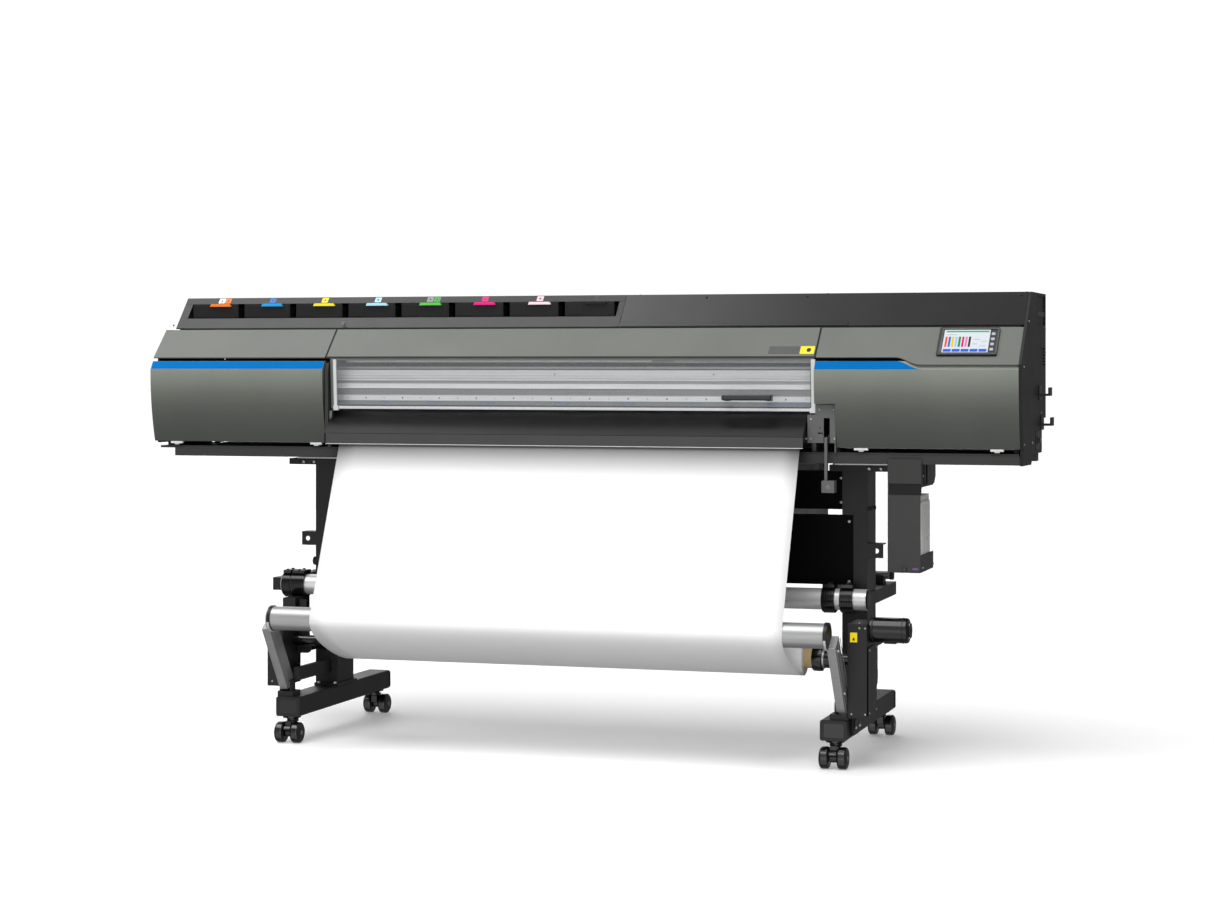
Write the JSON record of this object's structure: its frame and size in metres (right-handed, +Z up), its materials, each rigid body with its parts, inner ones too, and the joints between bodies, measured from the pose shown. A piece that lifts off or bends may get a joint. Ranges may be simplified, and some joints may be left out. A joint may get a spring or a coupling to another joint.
{
  "type": "printer cutter",
  "caption": "Wide roll-fed inkjet printer and cutter on a wheeled stand, with sloped hinged cover, ink trays, touch panel and media take-up.",
  "frame": {"origin": "on the floor, under the middle of the whole part's box", "axes": "+X along the machine to the right as its user sees it from the front, +Y to the back, +Z up"},
  "size_m": [2.632, 0.841, 1.298],
  "materials": {
    "cover_grey": "satin, warm dark grey",
    "slope_grey": "satin, warm mid grey",
    "black_cover": "fine-textured black",
    "stand_grey": "fine-textured dark grey",
    "frame_grey": "matt dark grey",
    "rail_silver": "anodised, brushed along its length",
    "tube_silver": "satin",
    "steel": "ground",
    "platen_metal": "matt anodised",
    "window_clear": "clear, lightly tinted plastic",
    "black_plastic": "fine grain",
    "tray_plastic": "fine grain",
    "screen_glass": "gloss touch panel",
    "caster_plastic": "semi-gloss",
    "caster_tread": "smooth",
    "roller_rubber": "matt",
    "belt_rubber": "toothed",
    "core_card": "spiral-wound cardboard",
    "media_white": "smooth white film",
    "bottle_plastic": "translucent",
    "motor_black": "smooth"
  },
  "bodies": {
    "machine": {"leg_left": "stand_grey", "leg_right": "stand_grey", "stand_panels": "black_cover", "holder_rail": "tube_silver", "supply_arms": "stand_grey", "bed_frame": "frame_grey", "platen": "platen_metal", "front_apron": "black_cover", "guide_rail": "rail_silver", "left_front_cover": "cover_grey", "right_front_cover": "cover_grey", "left_top_cover": "slope_grey", "right_top_cover": "slope_grey", "side_covers": "black_cover", "back_cover": "black_cover", "tray_housing": "frame_grey", "rear_top_cover": "black_cover", "control_panel": "black_plastic", "panel_screen": "screen_glass", "side_hooks": "black_plastic", "socket_panel": "black_plastic", "bottle_housing": "stand_grey", "takeup_drive": "stand_grey", "takeup_motor": "motor_black", "takeup_holder": "stand_grey", "lever_bracket": "frame_grey", "media_web": "media_white", "carriage_belt": "belt_rubber"},
    "front_cover": {"front_cover": "slope_grey", "front_window": "window_clear", "cover_handle": "black_plastic"},
    "loading_lever": {"loading_lever": "steel"},
    "pinch_bar": {"pinch_bar": "frame_grey"},
    "pinch_rollers": {"pinch_rollers": "roller_rubber"},
    "grit_roller": {"grit_roller": "steel"},
    "print_carriage": {"print_carriage": "black_plastic"},
    "cut_carriage": {"cut_carriage": "black_plastic"},
    "drive_pulley": {"drive_pulley": "steel"},
    "takeup": {"takeup_flanges": "black_plastic", "takeup_core": "core_card", "takeup_roll": "media_white"},
    "tension_bar": {"tension_bar": "tube_silver"},
    "supply_shaft": {"supply_shaft": "steel"},
    "waste_bottle": {"waste_bottle": "bottle_plastic"},
    "ink_tray_1": {"ink_tray_1": "tray_plastic"},
    "ink_tray_2": {"ink_tray_2": "tray_plastic"},
    "ink_tray_3": {"ink_tray_3": "tray_plastic"},
    "ink_tray_4": {"ink_tray_4": "tray_plastic"},
    "ink_tray_5": {"ink_tray_5": "tray_plastic"},
    "ink_tray_6": {"ink_tray_6": "tray_plastic"},
    "ink_tray_7": {"ink_tray_7": "tray_plastic"},
    "ink_tray_8": {"ink_tray_8": "tray_plastic"},
    "caster_fl": {"caster_fork_fl": "caster_plastic"},
    "wheels_fl": {"caster_wheels_fl": "caster_tread"},
    "caster_fr": {"caster_fork_fr": "caster_plastic"},
    "wheels_fr": {"caster_wheels_fr": "caster_tread"},
    "caster_rl": {"caster_fork_rl": "caster_plastic"},
    "wheels_rl": {"caster_wheels_rl": "caster_tread"},
    "caster_rr": {"caster_fork_rr": "caster_plastic"},
    "wheels_rr": {"caster_wheels_rr": "caster_tread"}
  },
  "joints": [
    {"name": "front_cover_hinge", "type": "hinge", "parent": "machine", "child": "front_cover", "pos_m": [-0.016, -0.0707, 1.192], "axis": [-1, 0, 0], "range_deg": [0, 50]},
    {"name": "loading_lever_pivot", "type": "hinge", "parent": "machine", "child": "loading_lever", "pos_m": [0.746, -0.1127, 0.89], "axis": [-1, 0, 0], "range_deg": [0, 42]},
    {"name": "pinch_bar_lift", "type": "slide", "parent": "machine", "child": "pinch_bar", "axis": [0, 0, 1], "range_m": [0, 0.006]},
    {"name": "pinch_roller_spin", "type": "hinge", "parent": "pinch_bar", "child": "pinch_rollers", "pos_m": [-0.016, -0.0127, 0.9594], "axis": [1, 0, 0], "continuous": true},
    {"name": "grit_roller_spin", "type": "hinge", "parent": "machine", "child": "grit_roller", "pos_m": [-0.016, -0.0127, 0.939], "axis": [1, 0, 0], "continuous": true},
    {"name": "print_carriage_slide", "type": "slide", "parent": "machine", "child": "print_carriage", "axis": [-1, 0, 0], "range_m": [0, 1.55]},
    {"name": "cut_carriage_slide", "type": "slide", "parent": "machine", "child": "cut_carriage", "axis": [1, 0, 0], "range_m": [0, 1.5]},
    {"name": "drive_pulley_spin", "type": "hinge", "parent": "machine", "child": "drive_pulley", "pos_m": [1.164, -0.0627, 1.106], "axis": [0, 0, 1], "continuous": true},
    {"name": "takeup_spin", "type": "hinge", "parent": "machine", "child": "takeup", "pos_m": [-0.016, -0.1427, 0.283], "axis": [1, 0, 0], "continuous": true},
    {"name": "tension_bar_swing", "type": "hinge", "parent": "machine", "child": "tension_bar", "pos_m": [-0.016, -0.2477, 0.165], "axis": [-1, 0, 0], "range_deg": [0, 25]},
    {"name": "supply_shaft_spin", "type": "hinge", "parent": "machine", "child": "supply_shaft", "pos_m": [-0.016, 0.3073, 0.48], "axis": [1, 0, 0], "continuous": true},
    {"name": "waste_bottle_slide", "type": "slide", "parent": "machine", "child": "waste_bottle", "axis": [0, 1, 0], "range_m": [0, 0.22]},
    {"name": "ink_tray_1_slide", "type": "slide", "parent": "machine", "child": "ink_tray_1", "axis": [0, -1, 0], "range_m": [0, 0.2]},
    {"name": "ink_tray_2_slide", "type": "slide", "parent": "machine", "child": "ink_tray_2", "axis": [0, -1, 0], "range_m": [0, 0.2]},
    {"name": "ink_tray_3_slide", "type": "slide", "parent": "machine", "child": "ink_tray_3", "axis": [0, -1, 0], "range_m": [0, 0.2]},
    {"name": "ink_tray_4_slide", "type": "slide", "parent": "machine", "child": "ink_tray_4", "axis": [0, -1, 0], "range_m": [0, 0.2]},
    {"name": "ink_tray_5_slide", "type": "slide", "parent": "machine", "child": "ink_tray_5", "axis": [0, -1, 0], "range_m": [0, 0.2]},
    {"name": "ink_tray_6_slide", "type": "slide", "parent": "machine", "child": "ink_tray_6", "axis": [0, -1, 0], "range_m": [0, 0.2]},
    {"name": "ink_tray_7_slide", "type": "slide", "parent": "machine", "child": "ink_tray_7", "axis": [0, -1, 0], "range_m": [0, 0.2]},
    {"name": "ink_tray_8_slide", "type": "slide", "parent": "machine", "child": "ink_tray_8", "axis": [0, -1, 0], "range_m": [0, 0.2]},
    {"name": "caster_swivel_fl", "type": "hinge", "parent": "machine", "child": "caster_fl", "pos_m": [-0.8213, -0.2547, 0.06], "axis": [0, 0, 1], "continuous": true},
    {"name": "wheel_spin_fl", "type": "hinge", "parent": "caster_fl", "child": "wheels_fl", "pos_m": [-0.8213, -0.2727, 0.03], "axis": [1, 0, 0], "continuous": true},
    {"name": "caster_swivel_fr", "type": "hinge", "parent": "machine", "child": "caster_fr", "pos_m": [0.7893, -0.2547, 0.06], "axis": [0, 0, 1], "continuous": true},
    {"name": "wheel_spin_fr", "type": "hinge", "parent": "caster_fr", "child": "wheels_fr", "pos_m": [0.7893, -0.2727, 0.03], "axis": [1, 0, 0], "continuous": true},
    {"name": "caster_swivel_rl", "type": "hinge", "parent": "machine", "child": "caster_rl", "pos_m": [-0.8213, 0.3723, 0.06], "axis": [0, 0, 1], "continuous": true},
    {"name": "wheel_spin_rl", "type": "hinge", "parent": "caster_rl", "child": "wheels_rl", "pos_m": [-0.8213, 0.3903, 0.03], "axis": [1, 0, 0], "continuous": true},
    {"name": "caster_swivel_rr", "type": "hinge", "parent": "machine", "child": "caster_rr", "pos_m": [0.7893, 0.3723, 0.06], "axis": [0, 0, 1], "continuous": true},
    {"name": "wheel_spin_rr", "type": "hinge", "parent": "caster_rr", "child": "wheels_rr", "pos_m": [0.7893, 0.3903, 0.03], "axis": [1, 0, 0], "continuous": true}
  ],
  "couplings": [
    {"joint": "loading_lever_pivot", "follows": "pinch_bar_lift", "rad_per_m": 122},
    {"joint": "pinch_roller_spin", "follows": "grit_roller_spin", "ratio": -1.375},
    {"joint": "drive_pulley_spin", "follows": "print_carriage_slide", "rad_per_m": -64.935}
  ]
}
